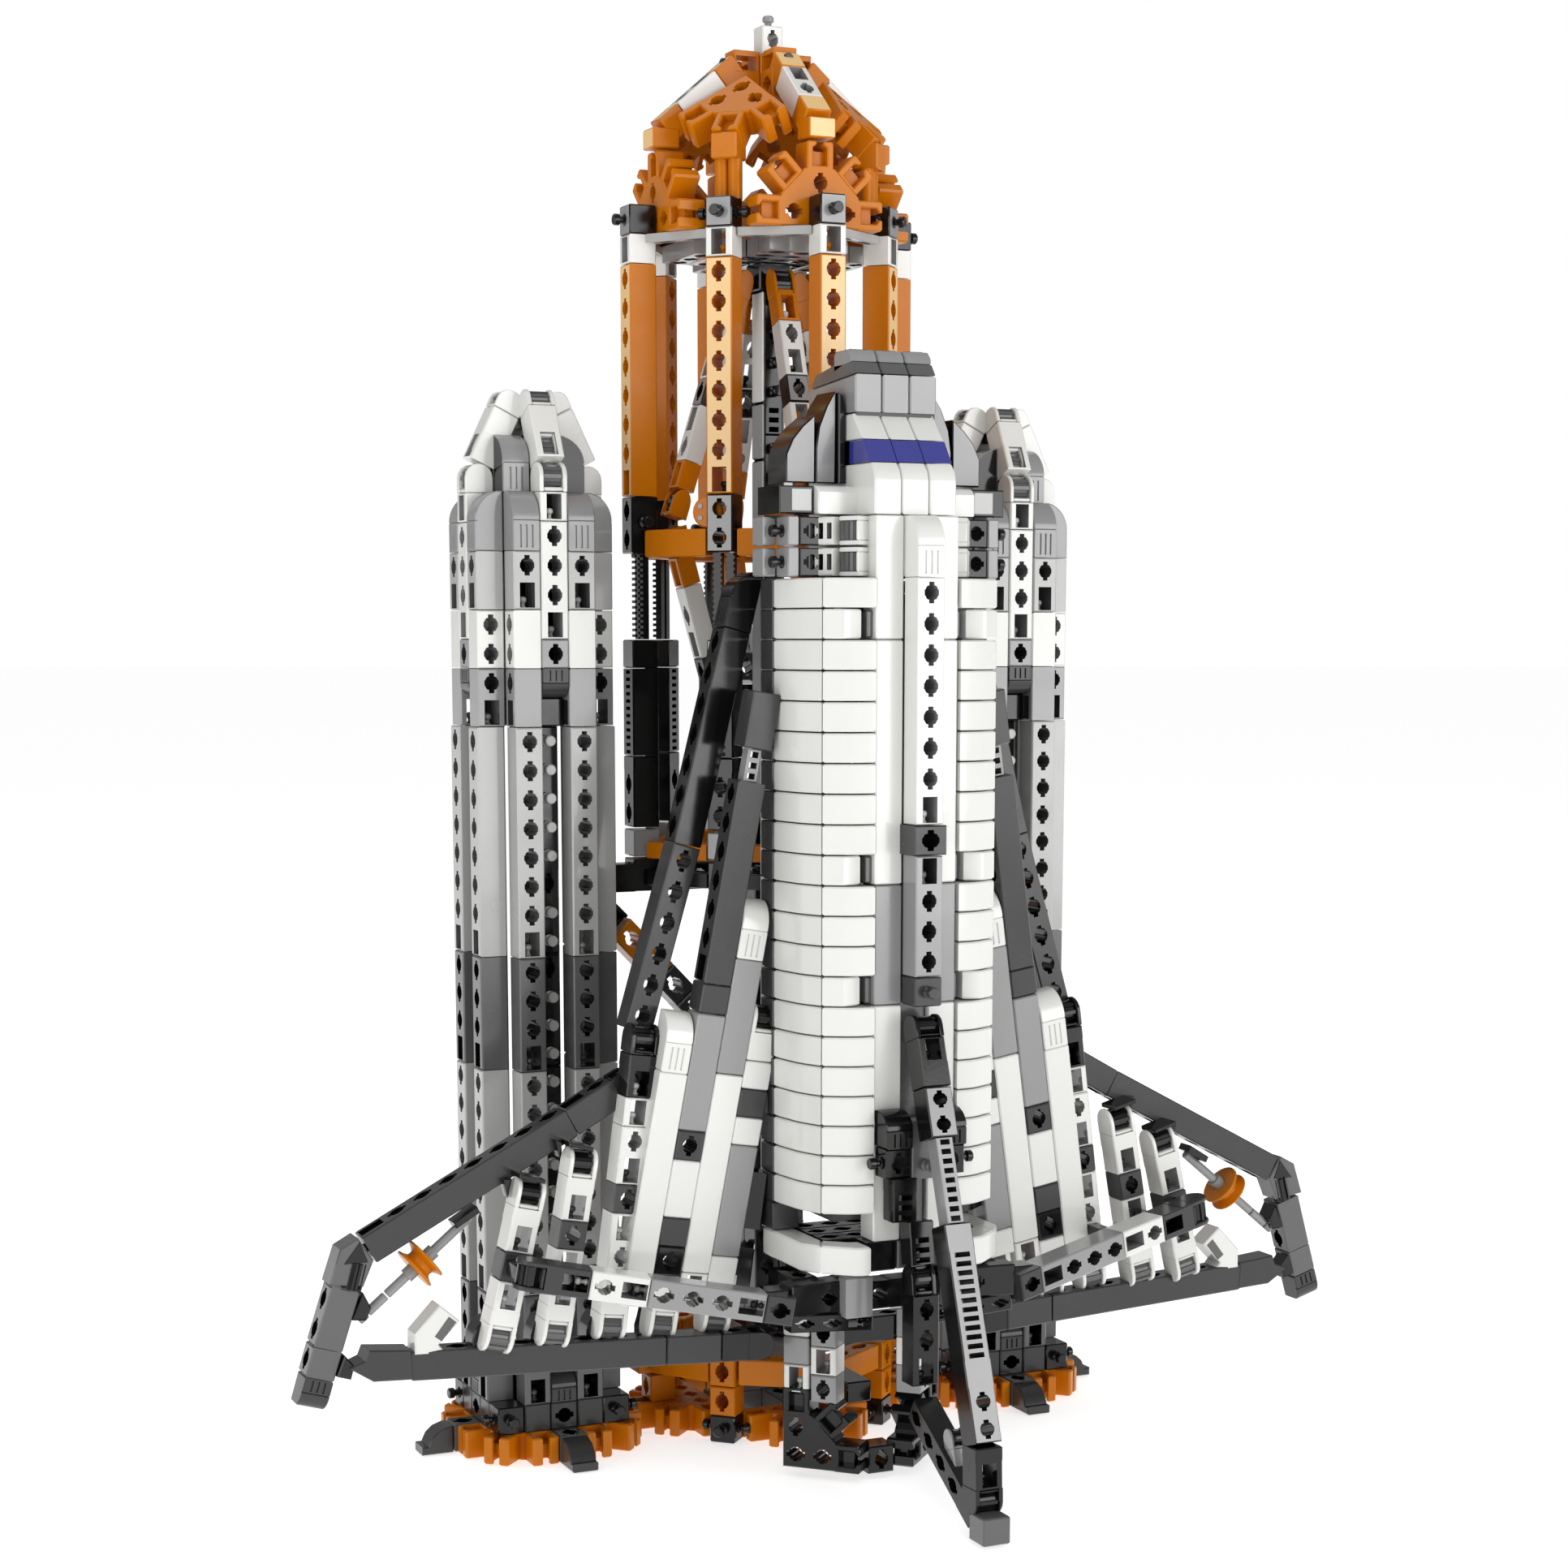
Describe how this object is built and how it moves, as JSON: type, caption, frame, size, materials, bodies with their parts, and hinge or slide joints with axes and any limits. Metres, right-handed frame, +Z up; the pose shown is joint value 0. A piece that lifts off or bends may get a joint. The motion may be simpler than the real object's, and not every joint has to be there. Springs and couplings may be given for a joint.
{
  "type": "toy space shuttle",
  "caption": "Toy space shuttle stack of snap-together plastic bricks: orange tank, grey boosters and a winged orbiter, upright on toothed bases.",
  "frame": {"origin": "middle of the footprint, on the floor under the toothed bases", "axes": "+Z up through the stack, -Y out of the orbiter's fin, which is the front, +X to the right seen from the front"},
  "size_m": [0.3996, 0.241, 0.508],
  "materials": {
    "orange": "gloss orange",
    "white": "gloss white",
    "light": "gloss light grey",
    "grey": "gloss grey",
    "dark": "gloss dark grey",
    "black": "gloss black",
    "violet": "clear blue violet"
  },
  "bodies": {
    "stack": {"booster_disc_l": "orange", "booster_frame_l": "dark", "booster_lower_l": "light", "booster_band_l": "grey", "booster_upper_l": "light", "booster_collar_l": "light", "booster_dome_l": "grey", "booster_nose_l": "white", "booster_disc_r": "orange", "booster_frame_r": "dark", "booster_lower_r": "light", "booster_band_r": "grey", "booster_upper_r": "light", "booster_collar_r": "light", "booster_dome_r": "grey", "booster_nose_r": "white", "tank_base": "orange", "tank_base_ring": "orange", "tank_stem": "dark", "tank_racks": "black", "tank_mid_ring": "orange", "tank_column_front": "orange", "tank_column_front_right": "orange", "tank_column_right": "orange", "tank_column_back_right": "orange", "tank_column_back": "orange", "tank_column_back_left": "orange", "tank_column_left": "orange", "tank_column_front_left": "orange", "tank_ring": "white", "tank_core": "light", "tank_dome": "orange", "tank_spire": "grey", "orbiter_panels_l": "white", "orbiter_panels_r": "white", "orbiter_core": "light", "orbiter_ring": "white", "orbiter_spine": "white", "orbiter_nose": "light", "orbiter_window": "violet", "orbiter_cheek_l": "grey", "orbiter_cheek_r": "grey", "wing_frame_l": "dark", "wing_rods_l": "white", "wing_strake_l": "dark", "wing_panels_l": "light", "wing_frame_r": "dark", "wing_rods_r": "white", "wing_strake_r": "dark", "wing_panels_r": "light", "fin_arm": "dark", "fin_rod": "light", "fin_foot": "dark", "rudder": "black", "engine_mount": "black", "engine_fans": "black"},
    "pulley_left": {"pulley_l": "orange"},
    "pulley_right": {"pulley_r": "orange"}
  },
  "joints": [
    {"name": "pulley_left_spin", "type": "hinge", "parent": "stack", "child": "pulley_left", "pos_m": [-0.1571, -0.0085, 0.0856], "axis": [-0.7727, 0, -0.6348], "continuous": true},
    {"name": "pulley_right_spin", "type": "hinge", "parent": "stack", "child": "pulley_right", "pos_m": [0.1571, -0.0085, 0.0856], "axis": [0.7727, 0, -0.6348], "continuous": true}
  ]
}
